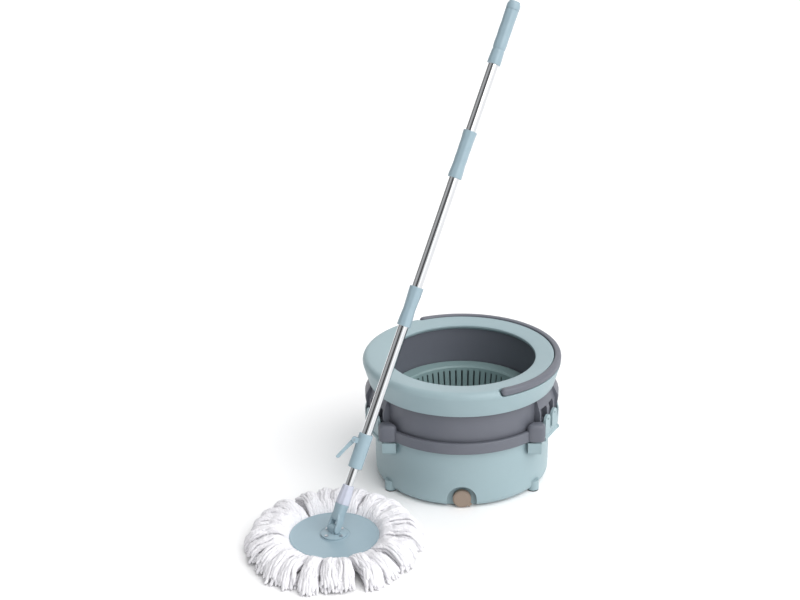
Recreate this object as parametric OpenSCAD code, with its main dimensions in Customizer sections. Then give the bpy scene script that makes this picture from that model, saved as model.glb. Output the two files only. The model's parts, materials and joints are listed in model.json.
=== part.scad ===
// Spin mop set: a two-storey spin bucket and a telescopic mop whose head turns
// when the pole is pushed down. Millimetres, +Z up, standing on z = 0.
// The origin is the middle of the whole set's outline on the floor.

/* [Lower bucket] */
// Outer radius of the lower bucket at its rim
bucket_r = 173; // [150:1:210]
// Height of the lower bucket's rim above the floor
bucket_h = 134; // [112:1:165]
// How much narrower the bucket is at its foot
bucket_taper = 2; // [0:0.5:6]
// Corner radius between the wall and the floor of the bucket
bucket_corner = 14; // [8:1:20]
// Wall of the moulded buckets and of the splash ring
wall = 2.6; // [2:0.1:3.5]
// Height of the rubber pads below the bucket
pad_h = 2.5; // [2:0.5:5]
// Radius of a foot and its rubber pad
foot_r = 11.5; // [8:0.5:14]

/* [Upper tub] */
// Radius of the opening in the splash ring
opening_r = 143; // [125:1:146]
// Height of the inner edge of the splash ring above the floor
ring_h = 246; // [235:1:300]
// Gap between the tub's outer wall and the bucket's outer wall
tub_step = 2; // [1:0.5:4]
// How far the splash ring stands out past the bucket wall
ring_out = 21; // [18:1:26]
// Height of the splash ring's skirt
skirt_h = 46; // [36:1:55]
// Depth of the tub below its seat on the bucket
tub_drop = 73; // [55:1:82]

/* [Spin basket] */
// Outer radius of the basket's flange
flange_r = 146; // [140:1:147]
// Width of the basket's flange
flange_w = 24; // [16:1:30]
// Height of the flange above the floor
flange_z = 166; // [158:1:180]
// Number of drain slots round the basket wall
slot_count = 60; // [36:4:72]
// Width of one drain slot
slot_w = 3; // [2:0.5:5]
// Radius of the steel spindle
spindle_r = 5; // [4:0.5:6]

/* [Handles and latches] */
// Width of the top carrying handle, measured across the ring
bail_w = 13; // [9:0.5:15]
// Thickness of the top carrying handle
bail_t = 14; // [10:0.5:16]
// Direction of the top handle's front pivot, degrees round the tub
bail_az = -65; // [-80:1:-50]
// Height of the band of a drop handle
band_h = 23; // [16:1:28]
// Thickness of the band of a drop handle
band_t = 7; // [5:0.5:8]
// Radius of the round hub at a drop handle's pivot
hub_r = 12.5; // [10:0.5:14]
// Radius of the drop handles' pivot pins
hub_pin_r = 3; // [2:0.5:4]
// Direction of a latch from the side of the bucket, degrees
latch_az = 25.5; // [23:0.5:28]
// Width of one latch finger
finger_w = 23; // [18:1:25]
// Gap between the two fingers of a latch
finger_gap = 10; // [6:1:12]

/* [Drain plug] */
// Radius of the plug's round face
plug_r = 17.5; // [14:0.5:19]
// Radius of the plug's spigot and of the drain hole
drain_r = 9; // [7:0.5:11]
// Height of the drain's axis above the floor
drain_z = 19; // [19:0.5:26]

/* [Mop head] */
// Radius of the mop plate
plate_r = 82; // [66:1:96]
// Outer radius of the spread strands
strand_r = 166; // [140:1:185]
// Height of the top of the mop plate above the floor
plate_z = 30; // [26:1:36]
// Thickness of the mop plate at its edge
plate_t = 5; // [4:0.5:7]
// Mop centre from the bucket axis, left to right
mop_dx = -232; // [-320:1:-200]
// Mop centre from the bucket axis, front to back
mop_dy = -316; // [-460:1:-300]

/* [Pole] */
// Lean of the pole from the vertical, degrees
pole_lean = 29.3; // [0:0.1:32]
// Direction that the pole leans in, degrees from +X towards +Y
pole_az = 48.4; // [40:0.1:60]
// Outer radius of the chromed pole tubes
tube_r = 9.5; // [8.5:0.5:11]
// Wall of the pole tubes
tube_wall = 0.8; // [0.6:0.1:1.2]
// Distance from the fork pin to the top of the pole
pole_len = 1012; // [930:1:1200]
// Length of the hand grip
grip_len = 121; // [100:1:140]
// Outer radius of the tube joints, the grip and the lever collar
collar_r = 13; // [12:0.5:15]
// Travel of the telescopic pole
pole_travel = 240; // [150:5:250]
// Radius of the fork pin
fork_pin_r = 3; // [2.5:0.5:4]

/* [Fits] */
// Radial running clearance of a shaft in its hole
run_gap = 0.05; // [0.03:0.01:0.1]
// Clearance between separate pieces that pass each other
free_gap = 0.5; // [0.4:0.1:1]

/* [Hidden] */
$fn = 96;
eps = 0.01;

// Lower bucket
foot_az = [-34, 34, 146, 214];
foot_ring_r = bucket_r - 6;
bucket_base_r = bucket_r - bucket_taper;
bucket_in_r = bucket_r - wall;
boss_r = bucket_r + 18;
boss_az = 35.5;
boss_z = bucket_h - 34;

// Upper tub
tub_r = bucket_r - tub_step;
tub_in_r = flange_r + 3;
tub_floor_z = bucket_h - tub_drop;
ring_r = bucket_r + ring_out;
skirt_z = ring_h - skirt_h;
skirt_r = ring_r - 12;
ring_crest = 5;
screw_ring_r = tub_r - wall - 7;
screw_r = 1.8;
screw_az = [20 : 60 : 320];
ear_r = tub_r + 13;
ear_lo = bucket_h + 12;
ear_hi = skirt_z - 1;

// Top handle
bail_in_r = ring_r - bail_w;
bail_z = ring_h + 0.5;
bail_pin_r = 3;
rebate_r = bail_in_r - free_gap;
rebate_z = bail_z - bail_t / 2 - free_gap;

// Drop handles
band_in_r = tub_r + 4;
band_top = bucket_h + 9;
hub_az = 40.3;
hub_out = 12.53;
hub_half = 17.5;
hub_y = round((bucket_r + hub_out) * sin(hub_az));
hub_z = bucket_h + 10;
hub_x0 = round((bucket_r + hub_out) * cos(hub_az) - hub_half);
hub_x1 = hub_x0 + 2 * hub_half;
hub_pin_x0 = hub_x0 + 8;
hub_pin_x1 = hub_x1 - 3;
lug_x0 = hub_x0 + 17;
lug_t = 9;
lug_r = hub_r - 4;
handle_swing = 18;

// Latches
latch_pin_r = 2;
latch_pin_z = bucket_h - 16;
latch_pin_x = boss_r - 1.5;
latch_t = 5;
latch_w = 2 * finger_w + finger_gap;
latch_top = bucket_h + 29;
latch_x0 = boss_r - latch_t;

// Spin basket
basket_wall = 2.2;
basket_in_r = flange_r - flange_w;
basket_floor_z = tub_floor_z + 16;
basket_low_r = basket_in_r - 12;
slot_lo = basket_floor_z + 12;
slot_hi = flange_z - 9;
hub_top_z = basket_floor_z + 26;
spindle_top = hub_top_z + 9;

// Drain
drain_y = bucket_r - 16;
recess_r = plug_r + 10.5;

// Mop head
pin_z = plate_z + 13;
eye_r = 8;
eye_w = 13;
cheek_t = 4;
hub_ring_r = 24;
strand_h = plate_z - plate_t - 1;
strand_top = 47;
ring_in_r = 62;

// Pole, as distances along its axis from the fork pin
cone_lo = 46;
cone_hi = 82;
collar_lo = 115;
collar_len = 65;
joint1_mid = 425;
joint1_len = 75;
joint2_mid = 717;
joint2_len = 90;
grip_lo = pole_len - grip_len;
inner_r = tube_r - tube_wall - 1.1;
bush_r = tube_r + 1.4;
inner_top = collar_lo + pole_travel + 58;
rod_side = 6;
twist_pitch = 80;
rod_top = inner_top + pole_travel + 45;
nut_lo = inner_top + 12;
nut_len = 22;
lever_turn = 130;
lever_x = collar_r + 4.5;
lever_t = collar_lo + collar_len - 16;
lever_len = 46;
lever_lean = 26;

// Where the bucket axis and the mop stand, so that the set's outline is centred
side_reach = ring_r;
bucket_x = (strand_r - mop_dx - side_reach) / 2;
bucket_y = (strand_r - mop_dy - ring_r) / 2;
mop_x = bucket_x + mop_dx;
mop_y = bucket_y + mop_dy;

// ---------------------------------------------------------------- shared shapes

// Puts a part on the bucket's axis
module at_bucket() {
    translate([bucket_x, bucket_y, 0]) children();
}

// Puts a part on the mop plate's axis
module at_mop() {
    translate([mop_x, mop_y, 0]) children();
}

// Puts a part on the leaning pole, at a distance from the fork pin
module on_pole(along = 0) {
    translate([mop_x, mop_y, pin_z]) rotate([0, pole_lean, pole_az]) translate([0, 0, along]) children();
}

// A straight sleeve
module sleeve(outer, inner, length) {
    difference() {
        cylinder(r = outer, h = length);
        translate([0, 0, -1]) cylinder(r = inner, h = length + 2);
    }
}

// A ring sector between two directions, from a profile of radius and height
module sector(from, to) {
    rotate([0, 0, from]) rotate_extrude(angle = to - from) children();
}

// A rod along X between two places
module rod_x(x0, x1, r) {
    translate([x0, 0, 0]) rotate([0, 90, 0]) cylinder(r = r, h = x1 - x0);
}

// A rod along Y between two places
module rod_y(y0, y1, r) {
    translate([0, y0, 0]) rotate([-90, 0, 0]) cylinder(r = r, h = y1 - y0);
}

// A rod sleeve profile with rounded ends, to spin round its axis
module barrel(r, length, edge) {
    rotate_extrude() {
        polygon([
            [0, 0], [r - edge, 0], [r - edge * 0.3, edge * 0.3], [r, edge],
            [r, length - edge], [r - edge * 0.3, length - edge * 0.3], [r - edge, length], [0, length]
        ]);
    }
}

// ---------------------------------------------------------------- lower bucket

// Outline of the lower bucket's outside, grown outwards or inwards, with its top raised
module bucket_outline(grow = 0, raise = 0) {
    r0 = bucket_base_r + grow;
    corner = bucket_corner + grow;
    z0 = pad_h + 0.3 - grow;
    polygon(concat(
        [[0, z0], [r0 - corner, z0]],
        [for (a = [5 : 5 : 90]) [r0 - corner + corner * sin(a), z0 + corner - corner * cos(a)]],
        [[bucket_r + grow, bucket_h + raise], [0, bucket_h + raise]]
    ));
}

// The hollow side boss that carries the latches and the drop handles' pivots
module side_boss() {
    sector(-boss_az, boss_az) {
        polygon([
            [bucket_r - 1, boss_z - 14], [bucket_r + 6, boss_z], [boss_r, boss_z + 16],
            [boss_r, bucket_h], [boss_r - wall, bucket_h], [boss_r - wall, boss_z + 18],
            [bucket_r + 4, boss_z + 3], [bucket_r - 1, boss_z + 3]
        ]);
    }
    for (a = [-boss_az + 0.3, -12, 10, boss_az - 2.3]) {
        sector(a, a + 2) {
            polygon([
                [bucket_r - 1.5, boss_z - 2], [bucket_r + 5, boss_z - 0.5], [boss_r - 1, boss_z + 16.5],
                [boss_r - 1, bucket_h - 0.5], [bucket_r - 1.5, bucket_h - 0.5]
            ]);
        }
    }
}

// A shelf on the bucket wall under a drop handle's hub, with a lug that holds the pivot pin
module hub_lug() {
    difference() {
        translate([hub_x0 + 2, 0, 0]) rotate([90, 0, 90]) linear_extrude(lug_x0 + lug_t - hub_x0) {
            polygon([
                [hub_y - 22, boss_z - 14], [hub_y + 4, boss_z - 8], [hub_y + 10, boss_z - 2],
                [hub_y + 11, band_top - band_h - 1.4], [hub_y - 22, band_top - band_h - 1.4]
            ]);
        }
        cylinder(r = bucket_in_r + 1.2, h = bucket_h * 2);
    }
    translate([lug_x0, hub_y, hub_z]) rod_x(0, lug_t, lug_r);
    translate([lug_x0, hub_y - lug_r + 0.4, boss_z + 4]) cube([lug_t, 2 * lug_r - 0.8, hub_z - boss_z - 4]);
}

// Windows in the boss for a latch plate
module latch_window(side) {
    rotate([0, 0, side * latch_az]) translate([latch_x0 - 1, -latch_w / 2 - free_gap, latch_pin_z - 9]) {
        cube([latch_t + 20, latch_w + 2 * free_gap, bucket_h]);
    }
}

// Two cheeks behind a latch plate that hold its pin
module latch_cheeks(side) {
    rotate([0, 0, side * latch_az]) {
        for (end = [-1, 1]) {
            translate([latch_pin_x, end * (latch_w / 2 + free_gap + 2), latch_pin_z]) rod_y(-2, 2, 5);
        }
    }
}

module lower_bucket() {
    color("#aec4c8") at_bucket() difference() {
        union() {
            difference() {
                rotate_extrude() bucket_outline();
                difference() {
                    rotate_extrude() bucket_outline(-wall, 5);
                    plug_recess(recess_r + wall, wall);
                }
                plug_recess(recess_r, 0);
            }
            for (a = foot_az) {
                rotate([0, 0, a]) translate([foot_ring_r, 0, pad_h]) cylinder(r = foot_r, h = 20);
            }
            for (flip = [0, 180]) {
                rotate([0, 0, flip]) difference() {
                    side_boss();
                    for (side = [-1, 1]) {
                        latch_window(side);
                    }
                }
                rotate([0, 0, flip]) for (side = [-1, 1]) {
                    latch_cheeks(side);
                    mirror([0, side < 0 ? 1 : 0, 0]) hub_lug();
                }
            }
        }
        for (flip = [0, 180], side = [-1, 1]) {
            rotate([0, 0, flip]) {
                translate([0, side * hub_y, hub_z]) rod_x(lug_x0 - 2, lug_x0 + lug_t + 2, hub_pin_r);
                rotate([0, 0, side * latch_az]) translate([latch_pin_x, 0, latch_pin_z]) {
                    rod_y(-latch_w / 2 - 3.5, latch_w / 2 + 3.5, latch_pin_r);
                }
            }
        }
        translate([0, -drain_y - 10, drain_z]) rod_y(-20, 40, drain_r);
        for (a = foot_az) {
            rotate([0, 0, a]) translate([foot_ring_r, 0, pad_h - 1]) cylinder(r = 3, h = 6);
        }
    }
}

// Arched space in front of the flat panel that the drain plug sits in
module plug_recess(r, back) {
    translate([0, back - drain_y, drain_z]) rotate([90, 0, 0]) linear_extrude(60) {
        polygon(concat([for (a = [0 : 7.5 : 180]) [r * cos(a), r * sin(a)]], [[-r, -60], [r, -60]]));
    }
}

module foot_pads() {
    color("#26282b") at_bucket() for (a = foot_az) {
        rotate([0, 0, a]) translate([foot_ring_r, 0, 0]) {
            cylinder(r = foot_r - 0.5, h = pad_h);
            cylinder(r = 3, h = pad_h + 5);
        }
    }
}

module handle_pins() {
    color("#c8ccd0") at_bucket() for (flip = [0, 180], side = [-1, 1]) {
        rotate([0, 0, flip]) translate([0, side * hub_y, hub_z]) {
            rod_x(hub_pin_x0, hub_pin_x1, hub_pin_r);
        }
    }
}

module latch_pins() {
    color("#c8ccd0") at_bucket() for (flip = [0, 180], side = [-1, 1]) {
        rotate([0, 0, flip + side * latch_az]) translate([latch_pin_x, 0, latch_pin_z]) {
            rod_y(-latch_w / 2 - 3.5, latch_w / 2 + 3.5, latch_pin_r);
        }
    }
}

// ---------------------------------------------------------------- drop handles

// The band round the front of the tub and the two hubs that it turns on
module drop_handle() {
    grip_az = acos((hub_x0 + 12) / (band_in_r + band_t));
    difference() {
        union() {
            sector(-180 + grip_az, -grip_az) {
                polygon([
                    [band_in_r, band_top - band_h], [band_in_r + band_t - 2, band_top - band_h],
                    [band_in_r + band_t, band_top - band_h + 3], [band_in_r + band_t, band_top - 3],
                    [band_in_r + band_t - 2, band_top], [band_in_r, band_top]
                ]);
            }
            for (side = [0, 1]) {
                mirror([side, 0, 0]) {
                    translate([hub_x0, -hub_y, hub_z]) rotate([0, 90, 0]) {
                        barrel(hub_r, hub_x1 - hub_x0, 3);
                    }
                    translate([hub_x0 + 2, -hub_y - hub_r + 0.4, band_top - band_h + 0.3]) {
                        cube([hub_x1 - hub_x0 - 3, hub_r + 7.6, hub_z - band_top + band_h - 0.3]);
                    }
                }
            }
        }
        for (side = [0, 1]) {
            mirror([side, 0, 0]) translate([0, -hub_y, hub_z]) {
                rod_x(hub_pin_x0 - free_gap, hub_pin_x1 + free_gap, hub_pin_r + run_gap);
                rod_x(lug_x0 - free_gap, lug_x0 + lug_t + free_gap, lug_r + 0.6);
                translate([lug_x0 - free_gap, -lug_r - 0.3, -hub_z / 2]) {
                    cube([lug_t + 2 * free_gap, 3 * hub_r, hub_z / 2]);
                }
            }
        }
        for (turn = [0, handle_swing]) {
            translate([0, -hub_y, hub_z]) rotate([turn, 0, 0]) translate([0, hub_y, -hub_z / 2]) {
                cylinder(r = bucket_r + 1, h = hub_z);
            }
        }
    }
}

module front_handle() {
    color("#8b909c") at_bucket() drop_handle();
}

module back_handle() {
    color("#8b909c") at_bucket() rotate([0, 0, 180]) drop_handle();
}

// ---------------------------------------------------------------- latches

// A flat plate with two round-ended fingers that stands against the tub's side
module latch(direction) {
    color("#b6ccd0") at_bucket() rotate([0, 0, direction]) difference() {
        union() {
            translate([latch_x0, -latch_w / 2, latch_pin_z - 5]) cube([latch_t, latch_w, 12]);
            for (end = [-1, 1]) {
                translate([latch_x0, end * (finger_gap + finger_w) / 2, 0]) hull() {
                    translate([0, 0, latch_top - finger_w / 2]) rod_x(0, latch_t, finger_w / 2);
                    translate([0, -finger_w / 2, latch_pin_z + 6]) cube([latch_t, finger_w, 4]);
                }
            }
            translate([latch_x0, -finger_gap / 2 - 1, latch_pin_z + 6]) cube([latch_t, finger_gap + 2, 6]);
            translate([latch_pin_x, 0, latch_pin_z]) rod_y(-latch_w / 2, latch_w / 2, 4.5);
        }
        for (end = [-1, 1]) {
            translate([latch_x0, end * (finger_gap + finger_w) / 2, latch_top - 9]) rod_x(-1, latch_t + 2, 2.4);
        }
        translate([latch_pin_x, 0, latch_pin_z]) rod_y(-latch_w / 2 - 1, latch_w / 2 + 1, latch_pin_r + run_gap);
    }
}

module latch_front_right() {
    latch(-latch_az);
}

module latch_back_right() {
    latch(latch_az);
}

module latch_back_left() {
    latch(180 - latch_az);
}

module latch_front_left() {
    latch(180 + latch_az);
}

// ---------------------------------------------------------------- drain

module drain_plug() {
    color("#a5948a") at_bucket() translate([0, -drain_y, drain_z]) difference() {
        union() {
            rod_y(-11, -3, plug_r);
            rod_y(-12, -10, plug_r - 2);
            rod_y(-4, wall + 8, drain_r - run_gap);
            rotate([0, 40, 0]) translate([plug_r - 4, -11, -4]) cube([8, 3, 8]);
        }
        rod_y(wall + 2, wall + 4.5, drain_r + 2);
    }
    color("#a5948a") at_bucket() translate([0, -drain_y, drain_z]) rod_y(wall + 1, wall + 6, drain_r - 2.5);
}

module drain_seal() {
    color("#202224") at_bucket() translate([0, -drain_y, drain_z]) difference() {
        rod_y(-3, -0.05, drain_r + 4);
        rod_y(-4, 1, drain_r - run_gap);
    }
}

// ---------------------------------------------------------------- upper tub

module upper_tub() {
    color("#8b909c") at_bucket() difference() {
        union() {
            rotate_extrude() polygon([
                [12, tub_floor_z], [tub_in_r - 8, tub_floor_z], [tub_in_r + wall - 1, tub_floor_z + 8],
                [tub_in_r + wall, bucket_h], [bucket_in_r - 4, bucket_h],
                [bucket_in_r - 4, bucket_h - 7], [bucket_in_r - free_gap, bucket_h - 7],
                [bucket_in_r - free_gap, bucket_h], [tub_r, bucket_h],
                [tub_r, skirt_z + 30], [tub_r - wall, skirt_z + 30], [tub_r - wall, bucket_h + 3],
                [tub_in_r + wall, bucket_h + 3], [tub_in_r + wall, ring_h - wall + 0.2],
                [tub_in_r, ring_h - wall + 0.2], [tub_in_r - 0.5, tub_floor_z + 10],
                [tub_in_r - 9, tub_floor_z + 3], [12, tub_floor_z + 3]
            ]);
            translate([0, 0, tub_floor_z - 6]) cylinder(r = 16, h = 14);
            for (flip = [0, 180]) {
                rotate([0, 0, flip]) side_ear();
            }
        }
        translate([0, 0, tub_floor_z - 3]) cylinder(r = spindle_r, h = 20);
        for (a = [0 : 15 : 345]) {
            rotate([0, 0, a]) translate([90, -4, tub_floor_z - 1]) cube([34, 8, 6]);
        }
        for (a = screw_az) {
            rotate([0, 0, a]) translate([screw_ring_r, 0, bucket_h - 1]) cylinder(r = screw_r, h = 6);
        }
    }
}

// The raised housing on the tub's side, with a pocket over each latch finger
module side_ear() {
    difference() {
        union() {
            sector(-36, 36) polygon([
                [tub_r - 1.5, ear_lo - 6], [ear_r - 4, ear_lo], [ear_r, ear_lo + 8], [ear_r, ear_lo + 24],
                [skirt_r - wall - free_gap - 4, ear_hi], [tub_r - 1.5, ear_hi]
            ]);
            sector(-11, 11) polygon([
                [tub_r, ear_lo - 2], [ear_r + 3, ear_lo + 4], [ear_r + 6, ear_lo + 18],
                [ear_r + 6, ear_lo + 30], [skirt_r - wall - free_gap, ear_hi], [tub_r, ear_hi]
            ]);
        }
        for (side = [-1, 1], end = [-1, 1]) {
            rotate([0, 0, side * latch_az + end * 5.5]) translate([tub_r + 2, 0, latch_top - 12]) {
                rotate([90, 0, 0]) translate([0, 0, -finger_w / 2]) linear_extrude(finger_w) {
                    polygon([[0, 0], [30, 0], [30, 8], [11, 26], [0, 26]]);
                }
            }
        }
    }
}

// Upper face of the splash ring, as radius and height
module ring_profile(inset) {
    polygon([
        [opening_r + inset * 2, ring_h - 5 + inset / 2], [opening_r + inset, ring_h - inset],
        [opening_r + 16, ring_h + 2 - inset], [rebate_r - 6, ring_h + ring_crest - inset],
        [ring_r - 8, ring_h + ring_crest - 1 - inset], [ring_r - 2 - inset, ring_h - 1 - inset / 2],
        [ring_r - inset, ring_h - 7], [skirt_r - inset, skirt_z - (inset > 0 ? 1 : 0)],
        [opening_r + inset * 2, skirt_z - (inset > 0 ? 1 : 0)]
    ]);
}

module splash_ring() {
    color("#aec4c8") at_bucket() difference() {
        union() {
            difference() {
                rotate_extrude() ring_profile(0);
                rotate_extrude() ring_profile(wall);
                translate([0, 0, skirt_z - 1]) cylinder(r = opening_r + 2 * wall + eps, h = ring_h - 5 - skirt_z + 1);
            }
            intersection() {
                rotate_extrude() ring_profile(0);
                sector(bail_az - 5, bail_az + 185) polygon([
                    [rebate_r - wall, rebate_z - wall], [ring_r, rebate_z - wall],
                    [ring_r, rebate_z + 1], [rebate_r, ring_h + 8], [rebate_r - wall, ring_h + 8]
                ]);
            }
            for (turn = [0, 180]) {
                rotate([0, 0, bail_az + turn]) translate([0, 0, bail_z]) rod_x(rebate_r - 9, rebate_r - eps, 4);
            }
        }
        sector(bail_az - 3.2, bail_az + 183.2) {
            translate([rebate_r, rebate_z]) square([bail_w + 20, bail_t + 20]);
        }
        for (turn = [0, 180]) {
            rotate([0, 0, bail_az + turn]) translate([0, 0, bail_z]) rod_x(rebate_r - 8, rebate_r + 5, bail_pin_r);
        }
        rotate_extrude() translate([tub_in_r - free_gap, ring_h - 30]) square([wall + 2 * free_gap, 26]);
    }
}

module ring_screws() {
    color("#c8ccd0") at_bucket() for (a = screw_az) {
        rotate([0, 0, a]) translate([screw_ring_r, 0, bucket_h - 2.5]) {
            cylinder(r = 3.5, h = 2.5);
            cylinder(r = screw_r, h = 10);
        }
    }
}

// ---------------------------------------------------------------- top handle

module top_handle() {
    color("#8b909c") at_bucket() translate([0, 0, bail_z]) rotate([0, 0, bail_az]) difference() {
        union() {
            sector(2, 178) polygon([
                [bail_in_r, -bail_t / 2 + 1], [bail_in_r + 1, -bail_t / 2],
                [ring_r - 2, -bail_t / 2], [ring_r, -bail_t / 2 + 2],
                [ring_r, bail_t / 2 - 3], [ring_r - 3, bail_t / 2],
                [bail_in_r + 2, bail_t / 2], [bail_in_r, bail_t / 2 - 2]
            ]);
            for (turn = [0, 180]) {
                rotate([0, 0, turn]) rod_x(bail_in_r, ring_r - 0.7, bail_t / 2);
            }
        }
        for (turn = [0, 180]) {
            rotate([0, 0, turn]) rod_x(bail_in_r - 1, ring_r - 4 + free_gap, bail_pin_r + run_gap);
        }
    }
}

module top_handle_pins() {
    color("#c8ccd0") at_bucket() translate([0, 0, bail_z]) for (turn = [0, 180]) {
        rotate([0, 0, bail_az + turn]) rod_x(rebate_r - 8, ring_r - 4, bail_pin_r);
    }
}

// ---------------------------------------------------------------- spin basket

module spindle() {
    color("#b9bec4") at_bucket() {
        translate([0, 0, tub_floor_z - 3]) cylinder(r = spindle_r, h = spindle_top - tub_floor_z + 3);
    }
}

module spindle_bush() {
    color("#e8e8e2") at_bucket() translate([0, 0, tub_floor_z + 8.3]) {
        sleeve(spindle_r + 4, spindle_r + run_gap, spindle_top - tub_floor_z - 12);
    }
}

module spin_basket() {
    color("#8fa9a9") at_bucket() difference() {
        rotate_extrude() polygon([
            [spindle_r + 4, basket_floor_z - 5], [20, basket_floor_z - 5], [24, basket_floor_z],
            [basket_low_r - 6, basket_floor_z], [basket_low_r, basket_floor_z + 6],
            [basket_in_r, flange_z - 4], [basket_in_r + 3, flange_z - basket_wall],
            [flange_r - 2, flange_z - basket_wall - 1], [flange_r, flange_z - 5], [flange_r, flange_z],
            [flange_r - 2, flange_z + 1], [basket_in_r, flange_z],
            [basket_in_r - basket_wall, flange_z - 3], [basket_low_r - basket_wall, basket_floor_z + 8],
            [basket_low_r - 8, basket_floor_z + basket_wall], [30, basket_floor_z + basket_wall],
            [22, hub_top_z - 6], [17, hub_top_z], [spindle_r + 4, hub_top_z]
        ]);
        for (i = [0 : slot_count - 1]) {
            rotate([0, 0, i * 360 / slot_count]) translate([basket_low_r - 10, -slot_w / 2, slot_lo]) {
                cube([40, slot_w, slot_hi - slot_lo]);
            }
        }
        for (a = [0 : 18 : 342]) {
            rotate([0, 0, a]) translate([44, -3, basket_floor_z - 1]) cube([48, 6, 5]);
        }
    }
}

module basket_cap() {
    color("#8b909c") at_bucket() translate([0, 0, hub_top_z]) difference() {
        barrel(15, 14, 3);
        translate([0, 0, -1]) cylinder(r = spindle_r + 4.5, h = 11);
    }
}

// ---------------------------------------------------------------- mop head

module mop_strands() {
    color("#f4f4f2") at_mop() rotate_extrude() polygon([
        [ring_in_r + 3.5, 0], [strand_r - 14, 0], [strand_r - 3, 4], [strand_r, 12], [strand_r - 2, 23],
        [strand_r - 9, 35], [strand_r - 20, 43], [strand_r - 36, strand_top], [plate_r + 28, strand_top - 2],
        [plate_r + 13, strand_top - 8], [plate_r + 2, plate_z + 1], [plate_r + 1, strand_h - 1.5],
        [ring_in_r + 3.5, strand_h - 1.5]
    ]);
}

module strand_ring() {
    color("#eef0f0") at_mop() translate([0, 0, plate_z - plate_t - 12]) {
        sleeve(ring_in_r + 3, ring_in_r, 11.9);
    }
}

module mop_plate() {
    color("#9fbcc9") at_mop() difference() {
        union() {
            rotate_extrude() polygon([
                [0, plate_z - plate_t], [plate_r - 2, plate_z - plate_t], [plate_r, plate_z - plate_t + 2],
                [plate_r, plate_z - 2.5], [plate_r - 1.5, plate_z - 1], [plate_r - 6, plate_z - 1],
                [hub_ring_r + 5, plate_z], [0, plate_z]
            ]);
            translate([0, 0, plate_z - plate_t - 10]) sleeve(ring_in_r - 0.4, ring_in_r - 3, 10.5);
        }
        for (a = [45 : 90 : 315]) {
            rotate([0, 0, a]) translate([18.5, 0, plate_z - plate_t - 1]) cylinder(r = 1.8, h = plate_t + 2);
        }
    }
}

// Screwed base with the eye that the fork straddles
module swivel_base() {
    color("#a9bfcc") at_mop() difference() {
        union() {
            translate([0, 0, plate_z + eps]) cylinder(r = hub_ring_r, h = 3);
            translate([0, 0, plate_z + 3]) cylinder(r1 = hub_ring_r - 1, r2 = eye_w / 2 + 4, h = 2.4);
            rotate([0, 0, pole_az]) {
                translate([-eye_r, -eye_w / 2, plate_z + 2]) cube([2 * eye_r, eye_w, pin_z - plate_z - 2]);
                translate([0, 0, pin_z]) rod_y(-eye_w / 2, eye_w / 2, eye_r);
            }
        }
        rotate([0, 0, pole_az]) translate([0, 0, pin_z]) rod_y(-40, 40, fork_pin_r + run_gap);
        for (a = [45 : 90 : 315]) {
            rotate([0, 0, a]) translate([18.5, 0, 0]) {
                translate([0, 0, plate_z - 1]) cylinder(r = 1.8, h = 10);
                translate([0, 0, plate_z + 3.2]) cylinder(r = 3.4, h = 4);
            }
        }
        rotate([0, 0, pole_az]) for (side = [-1, 1]) {
            translate([0, side * (eye_w / 2 + free_gap + cheek_t), pin_z]) {
                rod_y(-cheek_t - free_gap / 2, cheek_t + free_gap / 2, eye_r + 1.2);
            }
        }
    }
}

module base_screws() {
    color("#c8ccd0") at_mop() for (a = [45 : 90 : 315]) {
        rotate([0, 0, a]) translate([18.5, 0, 0]) {
            translate([0, 0, plate_z - plate_t + 1]) cylinder(r = 1.8, h = plate_t + 3);
            translate([0, 0, plate_z + 3.2]) cylinder(r = 3.4, h = 2);
        }
    }
}

module fork_pin() {
    color("#c8ccd0") on_pole() rod_y(-eye_w / 2 - free_gap - cheek_t, eye_w / 2 + free_gap + cheek_t, fork_pin_r);
}

// Two cheeks that rise from the pin to a round socket
module pole_fork() {
    color("#9cc0d4") on_pole() difference() {
        union() {
            for (side = [-1, 1]) {
                translate([0, side * (eye_w / 2 + free_gap + cheek_t / 2), 0]) {
                    rod_y(-cheek_t / 2, cheek_t / 2, eye_r);
                    translate([-eye_r, -cheek_t / 2, 0]) cube([2 * eye_r, cheek_t, 30]);
                }
            }
            translate([0, 0, 18]) cylinder(r1 = 10.5, r2 = 12, h = cone_lo - 18);
        }
        rod_y(-40, 40, fork_pin_r);
        translate([-20, -eye_w / 2 - free_gap, -20]) cube([40, eye_w + 2 * free_gap, 32]);
        translate([0, 0, 24]) cylinder(r = inner_r, h = 40);
        translate([0, 0, 12]) rod_y(-eye_w / 2 - free_gap, eye_w / 2 + free_gap, eye_r + 2);
    }
}

module ferrule_cone() {
    color([0.9, 0.9, 0.96, 0.85]) on_pole(cone_lo) difference() {
        cylinder(r1 = 13.4, r2 = 10.6, h = cone_hi - cone_lo);
        translate([0, 0, -1]) cylinder(r = inner_r, h = cone_hi - cone_lo + 2);
    }
}

// ---------------------------------------------------------------- pole

module inner_tube() {
    color("#d5d8dc") on_pole(24) sleeve(inner_r, inner_r - tube_wall, inner_top - 24);
}

// Twisted square rod that turns the nut as the pole slides
module drive_rod() {
    color("#b9bec4") on_pole(inner_top - 26) {
        cylinder(r = inner_r - tube_wall, h = 24);
        translate([0, 0, 24 - eps]) linear_extrude(
            height = rod_top - inner_top, twist = -(rod_top - inner_top) / twist_pitch * 360,
            slices = 64, $fn = 4
        ) {
            square(rod_side, center = true);
        }
    }
}

module glide_bush() {
    color("#e8e8e2") on_pole(collar_lo + 4) sleeve(bush_r, inner_r + run_gap, 22);
}

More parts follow.
